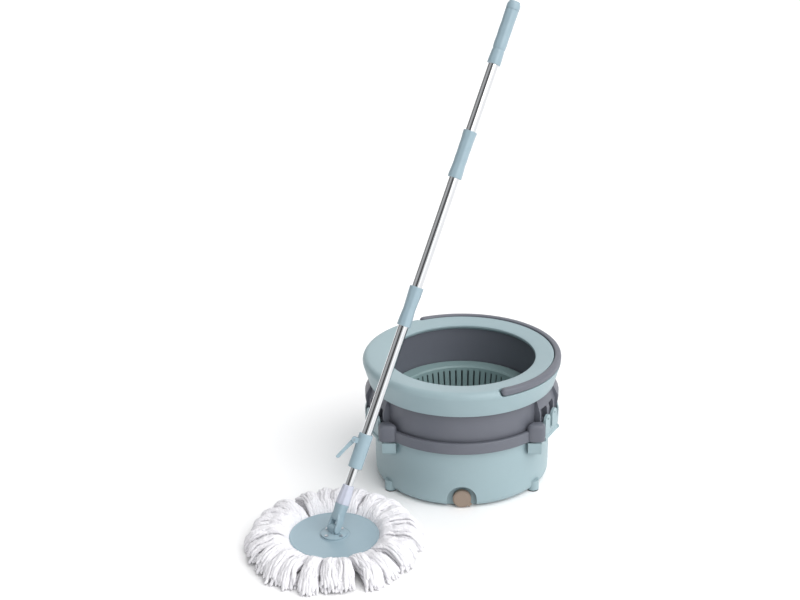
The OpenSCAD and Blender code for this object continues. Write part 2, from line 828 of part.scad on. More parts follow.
module lever_collar() {
    color("#a6c6d6") on_pole(collar_lo) difference() {
        union() {
            barrel(collar_r, collar_len, 1.5);
            rotate([0, 0, lever_turn]) translate([0, 0, lever_t - collar_lo]) for (side = [-1, 1]) {
                translate([lever_x, side * 7, 0]) rod_y(-1.5, 1.5, 5);
                translate([6, side * 7 - 1.5, -5]) cube([lever_x - 6, 3, 10]);
            }
        }
        translate([0, 0, -1]) cylinder(r = inner_r + 1, h = 6);
        translate([0, 0, 3.8]) cylinder(r = bush_r + run_gap, h = 22.4);
        translate([0, 0, 26]) cylinder(r = tube_r, h = collar_len);
        rotate([0, 0, lever_turn]) translate([lever_x, 0, lever_t - collar_lo]) rod_y(-20, 20, 1.5);
    }
}

module lever_pin() {
    color("#c8ccd0") on_pole() rotate([0, 0, lever_turn]) translate([lever_x, 0, lever_t]) {
        rod_y(-8.5, 8.5, 1.5);
    }
}

// Flip lever that clamps the inner tube
module lock_lever() {
    color("#a6c6d6") on_pole() rotate([0, 0, lever_turn]) translate([lever_x, 0, lever_t]) difference() {
        union() {
            rod_y(-5, 5, 4.2);
            rotate([0, 180 - lever_lean, 0]) translate([-2, 0, 0]) rotate([90, 0, 0]) {
                translate([0, 0, -5]) linear_extrude(10) polygon([
                    [-2, 0], [6, 0], [5, lever_len * 0.5], [5.5, lever_len - 3], [3, lever_len],
                    [-0.5, lever_len - 1], [-1, lever_len * 0.5]
                ]);
            }
        }
        rod_y(-20, 20, 1.5 + run_gap);
    }
}

module drive_nut() {
    color("#e8e8e2") on_pole(nut_lo) sleeve(tube_r - tube_wall, rod_side * 0.78, nut_len);
}

module lower_tube() {
    color("#d5d8dc") on_pole(collar_lo + 27) {
        sleeve(tube_r, tube_r - tube_wall, joint1_mid - collar_lo - 27.5);
    }
}

module middle_tube() {
    color("#d5d8dc") on_pole(joint1_mid + 0.5) sleeve(tube_r, tube_r - tube_wall, joint2_mid - joint1_mid - 1);
}

module upper_tube() {
    color("#d5d8dc") on_pole(joint2_mid + 0.5) {
        sleeve(tube_r, tube_r - tube_wall, pole_len - joint2_mid - 12);
    }
}

// Screwed sleeve over the meeting ends of two tubes, with a waist groove
module tube_joint(length) {
    difference() {
        barrel(collar_r, length, 1.5);
        translate([0, 0, -1]) cylinder(r = tube_r, h = length + 2);
        translate([0, 0, length * 0.55]) rotate_extrude() translate([collar_r - 0.8, 0]) square([3, 1.2]);
    }
}

module lower_joint() {
    color("#a6c6d6") on_pole(joint1_mid - joint1_len / 2) tube_joint(joint1_len);
}

module upper_joint() {
    color("#a6c6d6") on_pole(joint2_mid - joint2_len / 2) tube_joint(joint2_len);
}

module hand_grip() {
    color("#a6c6d6") on_pole(grip_lo) difference() {
        barrel(collar_r, grip_len - 16, 2);
        translate([0, 0, -1]) cylinder(r = tube_r, h = grip_len);
        for (i = [0 : 7]) {
            translate([0, 0, 10 + i * 10]) rotate_extrude() translate([collar_r - 0.7, 0]) square([3, 1.6]);
        }
    }
}

module end_cap() {
    color("#a6c6d6") on_pole(grip_lo + grip_len - 16) difference() {
        barrel(collar_r, 16, 5);
        translate([0, 0, -1]) cylinder(r = tube_r, h = 6);
    }
}

// ---------------------------------------------------------------- output

lower_bucket();
foot_pads();
handle_pins();
latch_pins();
front_handle();
back_handle();
latch_front_right();
latch_back_right();
latch_back_left();
latch_front_left();
drain_plug();
drain_seal();
upper_tub();
splash_ring();
ring_screws();
top_handle();
top_handle_pins();
spindle();
spindle_bush();
spin_basket();
basket_cap();
mop_strands();
strand_ring();
mop_plate();
swivel_base();
base_screws();
fork_pin();
pole_fork();
ferrule_cone();
inner_tube();
drive_rod();
glide_bush();
lever_collar();
lever_pin();
lock_lever();
drive_nut();
lower_tube();
lower_joint();
middle_tube();
upper_joint();
upper_tube();
hand_grip();
end_cap();
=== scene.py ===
# Spin mop set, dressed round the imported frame: camera and light first, then each piece in the
# order in which the set goes together, bucket first and mop after it.
import json
import math

import bmesh
import bpy
import numpy as np
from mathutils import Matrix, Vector


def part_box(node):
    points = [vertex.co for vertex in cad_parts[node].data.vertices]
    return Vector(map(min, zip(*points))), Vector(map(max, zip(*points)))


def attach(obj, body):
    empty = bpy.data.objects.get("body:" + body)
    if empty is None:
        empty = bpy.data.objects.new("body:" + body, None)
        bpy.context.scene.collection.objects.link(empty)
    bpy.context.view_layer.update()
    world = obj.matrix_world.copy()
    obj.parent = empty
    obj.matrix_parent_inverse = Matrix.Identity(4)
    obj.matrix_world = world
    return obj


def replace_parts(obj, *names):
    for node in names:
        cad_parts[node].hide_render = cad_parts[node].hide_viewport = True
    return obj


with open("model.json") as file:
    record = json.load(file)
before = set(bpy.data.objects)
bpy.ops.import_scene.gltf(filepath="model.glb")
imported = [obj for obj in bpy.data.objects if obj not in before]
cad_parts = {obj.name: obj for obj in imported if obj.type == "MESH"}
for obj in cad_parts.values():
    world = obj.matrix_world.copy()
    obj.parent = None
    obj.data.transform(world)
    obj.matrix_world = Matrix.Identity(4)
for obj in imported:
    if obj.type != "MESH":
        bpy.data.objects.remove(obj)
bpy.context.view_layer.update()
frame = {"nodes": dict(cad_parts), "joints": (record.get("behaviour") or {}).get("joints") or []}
nodes = frame["nodes"]
joints = {joint["name"]: joint for joint in frame["joints"]}
scene = bpy.context.scene


# ---- Camera
# The set is seen from in front and above, through a long lens that stands straight in front of
# the bucket. The lens is shifted sideways, so that the mop on the left is in view as well.
MM = 0.001


def middle(node):
    """The centre of a CAD node's box."""
    low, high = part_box(node)
    return (np.array(low) + np.array(high)) / 2


bucket_axis = middle("spindle")
camera_away = 2846.9 * MM
camera_height = 1525.9 * MM
camera_dip = 22.26
camera_data = bpy.data.cameras.new("camera")
camera_data.lens = 72
camera_data.sensor_width = 36
camera_data.shift_x = -0.0774
camera = bpy.data.objects.new("camera", camera_data)
camera.location = (bucket_axis[0], bucket_axis[1] - camera_away, camera_height)
camera.rotation_euler = (math.radians(90 - camera_dip), 0, 0)
scene.collection.objects.link(camera)
scene.camera = camera


# ---- Socket arithmetic and materials
# Each finish is a small node tree round one Principled shader, and a Wire is one output in it.
# The set has six plastics, one rubber, chromed tube and plain steel.
class Wire:
    """One output socket. Arithmetic on it adds Math nodes to its tree."""

    def __init__(self, tree, socket):
        self.tree, self.socket = tree, socket

    def math(self, operation, *values):
        return self.tree.add("ShaderNodeMath", {"operation": operation}, dict(enumerate(values)))

    def __add__(self, other):
        return self.math("ADD", self, other)

    def __sub__(self, other):
        return self.math("SUBTRACT", self, other)

    def __rsub__(self, other):
        return self.math("SUBTRACT", other, self)

    def __mul__(self, other):
        return self.math("MULTIPLY", self, other)

    def __truediv__(self, other):
        return self.math("DIVIDE", self, other)

    __radd__ = __add__
    __rmul__ = __mul__


class Tree:
    """A node tree. Every node in it is added by one method."""

    def __init__(self, tree):
        self.tree = tree

    def feed(self, socket, value):
        if isinstance(value, Wire):
            self.tree.links.new(value.socket, socket)
        else:
            socket.default_value = value

    def add(self, kind, settings=None, inputs=None, output=0):
        """Adds a node, sets its settings and ramp stops, feeds its sockets, and returns an output."""
        node = self.tree.nodes.new(kind)
        for key, value in (settings or {}).items():
            if key == "stops":
                ramp = node.color_ramp.elements
                while len(ramp) < len(value):
                    ramp.new(0.5)
                for element, (place, colour) in zip(ramp, value):
                    element.position, element.color = place, colour
            else:
                setattr(node, key, value)
        for key, value in (inputs or {}).items():
            self.feed(node.inputs[key], value)
        return Wire(self, node.outputs[output])


class Finish(Tree):
    """A material in the making. Constants go on the Principled shader's own sockets."""

    def __init__(self, name, **constants):
        self.material = bpy.data.materials.new(name)
        self.material.use_nodes = True
        super().__init__(self.material.node_tree)
        self.shader = self.tree.nodes["Principled BSDF"]
        for key, value in constants.items():
            self.feed(self.shader.inputs[key.replace("_", " ")], value)

    def place(self):
        """Object coordinates, in metres."""
        return self.add("ShaderNodeTexCoord", output="Object")

    def noise(self, scale, detail=3, where=None):
        """Fractal noise from 0 to 1, with about scale lumps a metre."""
        where = where or self.place()
        return self.add("ShaderNodeTexNoise", {}, {"Vector": where, "Scale": scale, "Detail": detail}, "Fac")

    def mix(self, share, first, second):
        """first where share is 0 and second where it is 1."""
        sockets = {0: share, 6: first, 7: second}
        return self.add("ShaderNodeMix", {"data_type": "RGBA"}, sockets, 2)

    def bump(self, height, strength, depth, normal=None):
        """A Bump node whose height of 1 stands depth metres out."""
        sockets = {"Height": height, "Strength": strength, "Distance": depth}
        if normal:
            sockets["Normal"] = normal
        return self.add("ShaderNodeBump", {}, sockets)

    def paint(self, **sockets):
        """Feeds the Principled shader and returns the material."""
        for key, value in sockets.items():
            self.feed(self.shader.inputs[key.replace("_", " ")], value)
        return self.material


def rgb(red, green, blue):
    """An sRGB colour given as 0 to 255, in the linear values that the shader takes."""
    share = np.array([red, green, blue]) / 255
    linear = np.where(share < 0.04045, share / 12.92, ((share + 0.055) / 1.055) ** 2.4)
    return (*(float(v) for v in linear), 1.0)


def moulded(name, tone, dark, roughness, edge=0.8 * MM, coat=0.0):
    """Injection-moulded plastic: a faint cloudiness, a fine spark-eroded grain and softened edges."""
    finish = Finish(name, Coat_Roughness=0.25, Specular_IOR_Level=0.45, Coat_Weight=coat)
    cloud = finish.noise(9, 4)
    grain = finish.noise(2600, 2)
    scuff = finish.noise(60, 6)
    soft_edge = finish.add("ShaderNodeBevel", {"samples": 4}, {"Radius": edge})
    return finish.paint(
        Base_Color=finish.mix(cloud * 0.5 + scuff * 0.2, tone, dark),
        Roughness=roughness + scuff * 0.14 - 0.07,
        Normal=finish.bump(grain, 0.10, 0.12 * MM, soft_edge),
    )


aqua = moulded("aqua_plastic", rgb(152, 173, 178), rgb(143, 164, 170), 0.42)
grey = moulded("grey_plastic", rgb(103, 106, 115), rgb(95, 98, 107), 0.46)
blue = moulded("blue_plastic", rgb(150, 172, 182), rgb(141, 163, 174), 0.36, coat=0.12)
teal = moulded("basket_plastic", rgb(132, 156, 157), rgb(119, 143, 144), 0.45)
beige = moulded("beige_plastic", rgb(148, 132, 118), rgb(138, 122, 109), 0.5)
nylon = moulded("white_nylon", rgb(232, 232, 226), rgb(220, 220, 213), 0.5)
rubber = moulded("black_rubber", rgb(38, 39, 42), rgb(30, 31, 33), 0.72)


def bright_metal(name, tone, roughness, draw):
    """Drawn steel: faint streaks along the draw and small handling marks."""
    finish = Finish(name, Metallic=1.0)
    stretched = finish.add("ShaderNodeMapping", {}, {"Vector": finish.place(), "Scale": draw})
    streak = finish.noise(160, 3, stretched)
    smear = finish.noise(35, 5)
    return finish.paint(
        Base_Color=finish.mix(smear, tone, tuple(0.92 * v for v in tone[:3]) + (1.0,)),
        Roughness=roughness + streak * 0.05 + smear * 0.05,
        Normal=finish.bump(streak, 0.04, 0.05 * MM),
    )


chrome = bright_metal("chrome_tube", rgb(222, 224, 226), 0.06, (6, 6, 0.4))
steel = bright_metal("plain_steel", rgb(190, 192, 196), 0.24, (3, 3, 1))


def dress(material, *names):
    """Gives CAD nodes a finish."""
    for name in names:
        slots = nodes[name].material_slots
        for slot in slots:
            slot.material = material
        if not slots:
            nodes[name].data.materials.append(material)


# ---- Studio
# A pale floor that runs out of view on every side, a wide soft sun from the front right, and a
# surround whose brighter and darker sides are there for the chrome to mirror.
def floor_plane(name, size):
    """A square at z = 0 round the set."""
    mesh = bpy.data.meshes.new(name)
    corners = [(-size, -size, 0), (size, -size, 0), (size, size, 0), (-size, size, 0)]
    mesh.from_pydata(corners, [], [(0, 1, 2, 3)])
    plane = bpy.data.objects.new(name, mesh)
    scene.collection.objects.link(plane)
    return plane


floor = floor_plane("studio_floor", 60)
floor_finish = Finish("studio_floor", Roughness=0.9, Specular_IOR_Level=0.1)
floor.data.materials.append(floor_finish.paint(Base_Color=rgb(253, 253, 253)))
sun_data = bpy.data.lights.new("key", "SUN")
sun_data.energy, sun_data.angle = 1.9, math.radians(75)
sun = bpy.data.objects.new("key", sun_data)
sun.rotation_euler = Vector((0.47, -0.44, 0.77)).to_track_quat("Z", "Y").to_euler()
scene.collection.objects.link(sun)


def surround():
    """A world whose brightness depends on the compass direction alone."""
    world = bpy.data.worlds.new("surround")
    world.use_nodes = True
    scene.world = world
    tree = Tree(world.node_tree)
    direction = tree.add("ShaderNodeTexCoord", output="Generated")
    east = tree.add("ShaderNodeSeparateXYZ", {}, {0: direction}, 0)
    north = tree.add("ShaderNodeSeparateXYZ", {}, {0: direction}, 1)
    turn = east.math("ARCTAN2", east, north) / math.tau + 0.5
    sides = [(0.0, 0.24), (0.03, 0.04), (0.09, 0.06), (0.14, 0.34), (0.24, 0.46), (0.31, 0.16), (0.38, 0.12)]
    sides += [(0.44, 0.9), (0.62, 1.0), (0.68, 0.3), (0.74, 0.24), (0.79, 1.1), (0.92, 1.2), (0.97, 0.5)]
    stops = [(place, (tone, tone, 1.01 * tone, 1)) for place, tone in sides]
    colour = tree.add("ShaderNodeValToRGB", {"stops": stops}, {0: turn})
    light = tree.tree.nodes["Background"]
    tree.feed(light.inputs["Color"], colour)
    light.inputs["Strength"].default_value = 1.25


surround()
scene.view_settings.view_transform = "Standard"


# ---- Shared shapes
# Helpers that turn profiles and grids of points into meshes. The pieces rebuilt below are made
# with them, in millimetres, and then put in their place in the frame; the rest are CAD nodes given a finish.
def surface(name, grid, closed_rows=False, split=40):
    """A mesh over a grid of points whose columns close on themselves. The rows close as well, or
    end in flat caps. Faces point outwards, and edges sharper than split degrees stay sharp."""
    rows, columns, _ = grid.shape
    last = rows if closed_rows else rows - 1
    row = np.arange(last)[:, None]
    column = np.arange(columns)[None, :]
    here = row * columns + column
    beside = row * columns + (column + 1) % columns
    above = (row + 1) % rows * columns + column
    diagonal = (row + 1) % rows * columns + (column + 1) % columns
    faces = np.stack([here, beside, diagonal, above], -1).reshape(-1, 4).tolist()
    if not closed_rows:
        faces.append(list(range(columns))[::-1])
        faces.append([(rows - 1) * columns + i for i in range(columns)])
    mesh = bpy.data.meshes.new(name)
    mesh.from_pydata(grid.reshape(-1, 3).tolist(), [], faces)
    mesh.update()
    work = bmesh.new()
    work.from_mesh(mesh)
    bmesh.ops.remove_doubles(work, verts=work.verts, dist=1e-7)
    bmesh.ops.recalc_face_normals(work, faces=work.faces)
    work.to_mesh(mesh)
    work.free()
    mesh.polygons.foreach_set("use_smooth", np.ones(len(mesh.polygons), bool))
    mesh.set_sharp_from_angle(angle=math.radians(split))
    piece = bpy.data.objects.new(name, mesh)
    scene.collection.objects.link(piece)
    return piece


def rounded(corners, steps=5):
    """A closed profile with each corner (r, z, radius) turned into a short curve."""
    corners = np.array(corners, float)
    here, size = corners[:, :2], corners[:, 2:3]
    before, after = np.roll(here, 1, 0) - here, np.roll(here, -1, 0) - here
    length_before = np.linalg.norm(before, axis=1, keepdims=True)
    length_after = np.linalg.norm(after, axis=1, keepdims=True)
    first = here + before / length_before * np.minimum(size, 0.49 * length_before)
    last = here + after / length_after * np.minimum(size, 0.49 * length_after)
    t = np.linspace(0, 1, steps)[None, :, None]
    curve = (1 - t) ** 2 * first[:, None] + 2 * t * (1 - t) * here[:, None] + t**2 * last[:, None]
    return curve.reshape(-1, 2)


def lathe(name, profile, place, flats=0, depth=0.0, count=120):
    """Spins a closed profile of (radius, height) in mm about the local z axis:
    x = k r cos a, y = k r sin a, where k = 1 - depth (1 - cos(flats a)) / 2."""
    profile = np.array(profile, float)
    angle = np.arange(count) * math.tau / count
    k = 1 - depth * (1 - np.cos(flats * angle)) / 2
    x = profile[:, 0][:, None] * (k * np.cos(angle))[None, :]
    y = profile[:, 0][:, None] * (k * np.sin(angle))[None, :]
    z = np.repeat(profile[:, 1][:, None], count, 1)
    return surface(name, place(np.stack([x, y, z], -1)), closed_rows=True)


def join(name, *parts):
    """Makes one piece out of several."""
    work = bmesh.new()
    for part in parts:
        work.from_mesh(part.data)
        bpy.data.objects.remove(part)
    mesh = bpy.data.meshes.new(name)
    work.to_mesh(mesh)
    work.free()
    mesh.set_sharp_from_angle(angle=math.radians(40))
    piece = bpy.data.objects.new(name, mesh)
    scene.collection.objects.link(piece)
    return piece


def superellipse(levels, power, count=72):
    """Rings of |x/a|^power + |y/b|^power = 1 at each (height, a, b, centre y)."""
    angle = np.arange(count) * math.tau / count
    c, s = np.cos(angle), np.sin(angle)
    shape = np.stack([np.sign(c) * np.abs(c) ** (2 / power), np.sign(s) * np.abs(s) ** (2 / power)], -1)
    levels = np.array(levels, float)
    x = levels[:, 1][:, None] * shape[:, 0]
    y = levels[:, 2][:, None] * shape[:, 1] + levels[:, 3][:, None]
    z = np.repeat(levels[:, 0][:, None], count, 1)
    return np.stack([x, y, z], -1)


def smooth_levels(levels, steps=4):
    """Puts steps levels between each two, on a Catmull-Rom curve."""
    points = np.array(levels, float)
    padded = np.vstack([2 * points[0] - points[1], points, 2 * points[-1] - points[-2]])
    t = np.linspace(0, 1, steps, endpoint=False)[:, None]
    curves = []
    for a, b, c, d in zip(padded[:-3], padded[1:-2], padded[2:-1], padded[3:]):
        square = (2 * a - 5 * b + 4 * c - d) * t**2
        cube = (3 * b - a - 3 * c + d) * t**3
        curves.append(0.5 * (2 * b + (c - a) * t + square + cube))
    return np.vstack(curves + [points[-1:]])


def at_bucket(grid):
    """From mm about the bucket's axis, above the floor, to the frame."""
    return grid * MM + np.array([bucket_axis[0], bucket_axis[1], 0])


def dressed(piece, material, body, slot, *replaced):
    """Gives a piece its finish in a material slot and its body, and hides the nodes it stands for. The slot
    argument is not used.
    """
    piece.data.materials.append(material)
    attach(piece, body)
    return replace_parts(piece, *replaced) if replaced else piece


# ---- Lower bucket
# One deep aqua moulding with hollow side bosses for the latches and lugs for the drop handles.
# It stands on four stubs with pushed-in rubber pads.
dress(aqua, "lower_bucket")
dress(rubber, "foot_pads")
dress(steel, "handle_pins", "latch_pins")


# ---- Drop handles and latches
# Two grey bands turn on pins beside the bucket's wall, and four aqua latches with two fingers
# each tilt on pins in the side bosses.
knuckle_x = 141.5
knuckle_y = 120.0
knuckle_z = 144
wall_clear = 174.8
swing_slope = 0.32
band_low = 120.2
band_high = 143


def knuckle(side, face):
    """A barrel with soft shoulders. Its inner side stands clear of the tub and of the swing:
    r >= wall_clear + swing_slope |z - knuckle_z|."""
    levels = [(120.2, 12.6, 8.4, 0), (121.2, 15.9, 11.2, 0), (124.5, 17.2, 12.3, 0), (134, 17.5, 12.6, 0)]
    levels += [(146, 17.4, 12.5, 0), (151.6, 16.4, 11.6, 0), (155, 13.4, 9.2, 0), (156.4, 7.5, 5.2, 0)]
    grid = superellipse(smooth_levels(levels), 3.0) + np.array([knuckle_x * side, knuckle_y * face, 0])
    reach = np.hypot(grid[..., 0], grid[..., 1])
    clear = np.maximum(reach, wall_clear + swing_slope * np.abs(grid[..., 2] - knuckle_z))
    grid[..., :2] *= (clear / reach)[..., None]
    return surface("knuckle", at_bucket(grid))


def drop_handle(name, node, face):
    """A flat band with softened edges from one knuckle to the other, on the side y = face."""
    section = rounded([
        (175.2, band_low, 0.8), (181.4, band_low, 2.2), (181.9, 131, 6), (181.4, band_high, 2.2),
        (175.2, band_high, 0.8)
    ])
    angle = np.radians(np.linspace(43.5, 136.5, 120))[:, None]
    x, y = section[:, 0] * np.cos(angle), face * section[:, 0] * np.sin(angle)
    z = np.repeat(section[None, :, 1], len(angle), 0)
    band = surface("band", at_bucket(np.stack([x, y, z], -1)))
    piece = join(name, band, knuckle(-1, face), knuckle(1, face))
    return dressed(piece, grey, node, "grey_plastic", node)


drop_handle("front_band", "front_handle", -1)
drop_handle("back_band", "back_handle", 1)
dress(aqua, "latch_front_right", "latch_back_right", "latch_back_left", "latch_front_left")


# ---- Drain
# A beige moulded plug with a rubber face seal. It is pushed into a hole in the bucket's recessed
# front panel and pulled out to let the water go.
dress(beige, "drain_plug")
dress(rubber, "drain_seal")


# ---- Upper tub
# A grey tub that stands on the lower bucket's rim, with raised housings for the latches. A steel
# spindle in its floor carries the basket, and a moulded cap closes the basket's hub.
dress(grey, "upper_tub", "basket_cap")
dress(steel, "ring_screws", "top_handle_pins", "spindle")


# ---- Splash ring and top handle
# A broad aqua ring with a groove that takes the tub's rim. Its outer edge is cut away over half its
# length, and the grey carrying handle lies in that rebate, on a pin at each end.
bail_az = -65
bail_r = 187
bail_z = 246.5


def ring_grid():
    """The ring's section at each angle. Where w is 1 the outer corner gives way to the rebate:
    section = (1 - w) full + w rebated, and w = smoothstep at the rebate's two ends."""
    inner = [(148.4, 236.8, 0.4), (148.4, 240, 1), (145.4, 241.6, 1.2), (143.2, 241.4, 1.2)]
    inner += [(143.3, 246.2, 1.6), (151, 247.7, 6)]
    under = [(179.6, 199.9, 0.4), (182.0, 199.9, 0.8)]
    full_top = [(172, 250.4, 10), (180, 251, 4), (185, 250.9, 3), (190.6, 248.2, 4), (194, 240.6, 4)]
    cut_top = [(172, 250.4, 3), (179.4, 250.8, 0.9), (179.4, 239.0, 0.9), (186, 239.0, 1)]
    cut_top += [(193.2, 238.7, 0.8)]
    inside = [(177, 238, 1), (176, 241, 4), (174, 247, 3), (152, 244.6, 2)]
    inside_cut = [(176.6, 236, 1), (176.4, 240, 2), (174, 247, 3), (152, 244.6, 2)]
    full = rounded(inner + full_top + under[::-1] + inside)
    cut = rounded(inner + cut_top + under[::-1] + inside_cut)
    count = 360
    angle = np.arange(count) * math.tau / count
    along = np.degrees((angle - math.radians(bail_az)) % math.tau)
    share = np.clip(np.minimum(along + 3.4, 183.4 - along) / 1.2, 0, 1)
    share = np.where(along > 356, np.clip((along - 356.6) / 1.2, 0, 1), share)
    share = share * share * (3 - 2 * share)
    section = (1 - share)[None, :, None] * full[:, None] + share[None, :, None] * cut[:, None]
    return np.stack([section[..., 0] * np.cos(angle), section[..., 0] * np.sin(angle), section[..., 1]], -1)


ring = surface("ring", at_bucket(ring_grid()), closed_rows=True, split=32)
dressed(ring, aqua, "tub", "aqua_plastic", "splash_ring")


def bail_grid():
    """A D-shaped section swept over half a turn, shrinking to a rounded nose at each end:
    r = bail_r + (0.25 + 0.75 n) x and z = bail_z + (0.2 + 0.8 n) y, where (x, y) is the section
    and n = sqrt(1 - (1 - u)^2), with u from 0 to 1 over the last 2.6 degrees."""
    first, last = np.linspace(-2.1, 3, 14), np.linspace(177, 182.1, 14)
    degrees = np.concatenate([first, np.linspace(5, 175, 130), last])
    nose = np.clip(np.minimum(degrees + 2.12, 182.12 - degrees) / 2.6, 0, 1)
    size = np.sqrt(1 - (1 - nose) ** 2)
    section = rounded([
        (-6.2, -6.6, 1.2), (5.4, -6.6, 1.6), (6.6, -4.2, 1.6), (6.6, 3.4, 3.0), (3.6, 6.8, 3.0),
        (-4.4, 6.8, 2.0), (-6.2, 5.0, 1.4)
    ], 6)
    radius = bail_r + section[None, :, 0] * (0.25 + 0.75 * size)[:, None]
    height = bail_z + section[None, :, 1] * (0.2 + 0.8 * size)[:, None]
    angle = np.radians(degrees + bail_az)[:, None]
    return np.stack([radius * np.cos(angle), radius * np.sin(angle), height], -1)


bail = surface("bail", at_bucket(bail_grid()))
dressed(bail, grey, "top_handle", "grey_plastic", "top_handle")


# ---- Spin basket
# A slotted wringing basket, moulded in a darker teal. It turns on a steel spindle in a nylon bush,
# and spins with the mop head pressed into it.
dress(teal, "spin_basket")
dress(nylon, "spindle_bush")


# ---- Mop strands
# Looped microfibre yarn, sewn into the ring below the plate in bunches. Each bunch falls over the
# others and spreads out on the floor, so the head's outline is scalloped.
def closed_tubes(name, rings):
    """One mesh of many closed tubes. rings is an array of tube, ring along, point round and xyz."""
    tubes, along, round_, _ = rings.shape
    start = np.arange(tubes)[:, None, None] * along * round_
    here = start + np.arange(along - 1)[None, :, None] * round_ + np.arange(round_)[None, None, :]
    next_round = (np.arange(round_)[None, None, :] + 1) % round_
    beside = start + np.arange(along - 1)[None, :, None] * round_ + next_round
    sides = np.stack([here, here + round_, beside + round_, beside], -1).reshape(-1, 4)
    foot = (start[:, :, 0] + np.arange(round_)).reshape(tubes, round_)
    tip = foot[:, ::-1] + (along - 1) * round_
    loops = np.concatenate([sides.ravel(), foot.ravel(), tip.ravel()])
    sizes = np.concatenate([np.full(len(sides), 4), np.full(2 * tubes, round_)])
    mesh = bpy.data.meshes.new(name)
    mesh.vertices.add(tubes * along * round_)
    mesh.vertices.foreach_set("co", rings.ravel())
    mesh.loops.add(len(loops))
    mesh.loops.foreach_set("vertex_index", loops)
    mesh.polygons.add(len(sizes))
    mesh.polygons.foreach_set("loop_start", np.concatenate([[0], np.cumsum(sizes)[:-1]]))
    mesh.update(calc_edges=True)
    mesh.validate()
    mesh.polygons.foreach_set("use_smooth", np.ones(len(mesh.polygons), bool))
    piece = bpy.data.objects.new(name, mesh)
    scene.collection.objects.link(piece)
    return piece


def tube_rings(paths, radii, round_):
    """Rings of round_ points about each path: centre + radius (cos a * side + sin a * over)."""
    ahead = np.gradient(paths, axis=1)
    ahead /= np.linalg.norm(ahead, axis=-1, keepdims=True)
    side = np.cross(np.array([0, 0, 1.0]), ahead)
    side /= np.linalg.norm(side, axis=-1, keepdims=True) + 1e-9
    over = np.cross(ahead, side)
    angle = np.arange(round_) * math.tau / round_
    ring = np.cos(angle)[:, None] * side[:, :, None] + np.sin(angle)[:, None] * over[:, :, None]
    return paths[:, :, None] + radii[..., None] * ring


root_r = 68
under_plate = 20.5
plate_edge = 84.5


def yarn(name, per_bunch, depth, reach, seed):
    """One layer of yarn. With s from 0 to 1 along a strand, r goes from 68 mm to the bunch's reach,
    z follows the heap's outline less its depth, and the bunches sway by sin(2 pi 1.6 s + phase)."""
    rng = np.random.default_rng(seed)
    shape = np.random.default_rng(5)
    bunches = 24
    turn = (np.arange(bunches) + shape.uniform(-0.25, 0.25, bunches)) * math.tau / bunches
    far = shape.uniform(155, 167, bunches) * reach
    sway = shape.uniform(0, math.tau, bunches)
    lift = shape.uniform(-4, 4, bunches)
    back = 0.5 + 0.5 * np.sin(turn - 0.1)
    bunch = np.repeat(np.arange(bunches), per_bunch)
    across = np.tile(np.linspace(-1, 1, per_bunch), bunches) + rng.normal(0, 0.08, len(bunch))
    s = np.linspace(0, 1, 46)[None, :]
    out = root_r + (far[bunch] - 5 * across**2 + rng.normal(0, 2.4, len(bunch)) - root_r)[:, None] * s
    stations = [root_r, 80, 84, 92, 102, 114, 128, 140, 150, 158, 163, 167]
    height = np.interp(out, stations, [17, 19.5, 27, 38, 46, 50, 50, 46, 37, 24, 12, 6])
    front = np.interp(out, stations, [17, 19.5, 26, 33, 38, 40, 38, 34, 27, 17, 9, 5])
    height = front + (height - front) * back[bunch][:, None]
    away = np.clip((out - 84) / 22, 0, 1)
    hump = 1 - (across**2)[:, None] * away
    height = height - depth * (0.25 + 0.75 * away) + 7 * (hump - 0.6) * away
    waves = np.sin(math.tau * 1.6 * s + sway[bunch][:, None])
    height = height + (lift[bunch][:, None] * 0.6 + 3.0 * waves) * away * (1 - 0.5 * s)
    height = height + 0.9 * away * np.sin(math.tau * 3.1 * s + rng.uniform(0, math.tau, len(bunch))[:, None])
    width = 10.6 + 5.6 * s - 2.2 * np.sin(math.pi * s)
    aside = across[:, None] * width + 4.0 * s * np.sin(math.tau * 0.9 * s + 2 * sway[bunch][:, None])
    aside = aside + 1.0 * s * np.sin(math.tau * 2.7 * s + rng.uniform(0, math.tau, len(bunch))[:, None])
    angle = turn[bunch][:, None] + aside / out
    thick = 3.3 + rng.normal(0, 0.2, len(bunch))[:, None]
    thick = thick * (1 + 0.08 * np.sin(math.tau * 15 * s + rng.uniform(0, math.tau, len(bunch))[:, None]))
    thick = thick * np.sqrt(np.clip(1 - np.abs(2 * s - 1) ** 24, 0.002, 1))
    height = np.where(out > plate_edge, height, np.minimum(height, under_plate))
    height = np.maximum(height, thick + 0.2)
    paths = np.stack([out * np.cos(angle), out * np.sin(angle), height], -1)
    rings = tube_rings(paths, thick[..., None], 9)
    fluff = 1 + rng.normal(0, 0.11, rings.shape[:3])[..., None]
    rings = paths[:, :, None] + (rings - paths[:, :, None]) * fluff
    rings[..., 2] = np.maximum(rings[..., 2], 0.15)
    return closed_tubes(name, rings * MM + np.array([mop_axis[0], mop_axis[1], 0]))


mop_axis = middle("mop_plate")
microfibre_finish = Finish("microfibre", Sheen_Weight=0.25, Sheen_Roughness=0.5, Specular_IOR_Level=0.2)
lumps = microfibre_finish.noise(1100, 3)
tufts = microfibre_finish.noise(420, 2)
shade = microfibre_finish.noise(30, 3)
microfibre = microfibre_finish.paint(
    Base_Color=microfibre_finish.mix(shade * 0.6 + lumps * 0.4, rgb(247, 246, 248), rgb(226, 225, 230)),
    Roughness=0.9 + 0.1 * lumps,
    Normal=microfibre_finish.bump(lumps + tufts * 0.8, 0.75, 0.9 * MM),
)
for name, per_bunch, depth, reach, seed in [
    ("strands_top", 8, 3.0, 1.0, 11),
    ("strands_middle", 8, 10.0, 1.0, 12),
    ("strands_low", 7, 19.0, 0.985, 13),
]:
    layer = yarn(name, per_bunch, depth, reach, seed)
    dressed(layer, microfibre, "mop_head", "microfibre", "mop_strands")


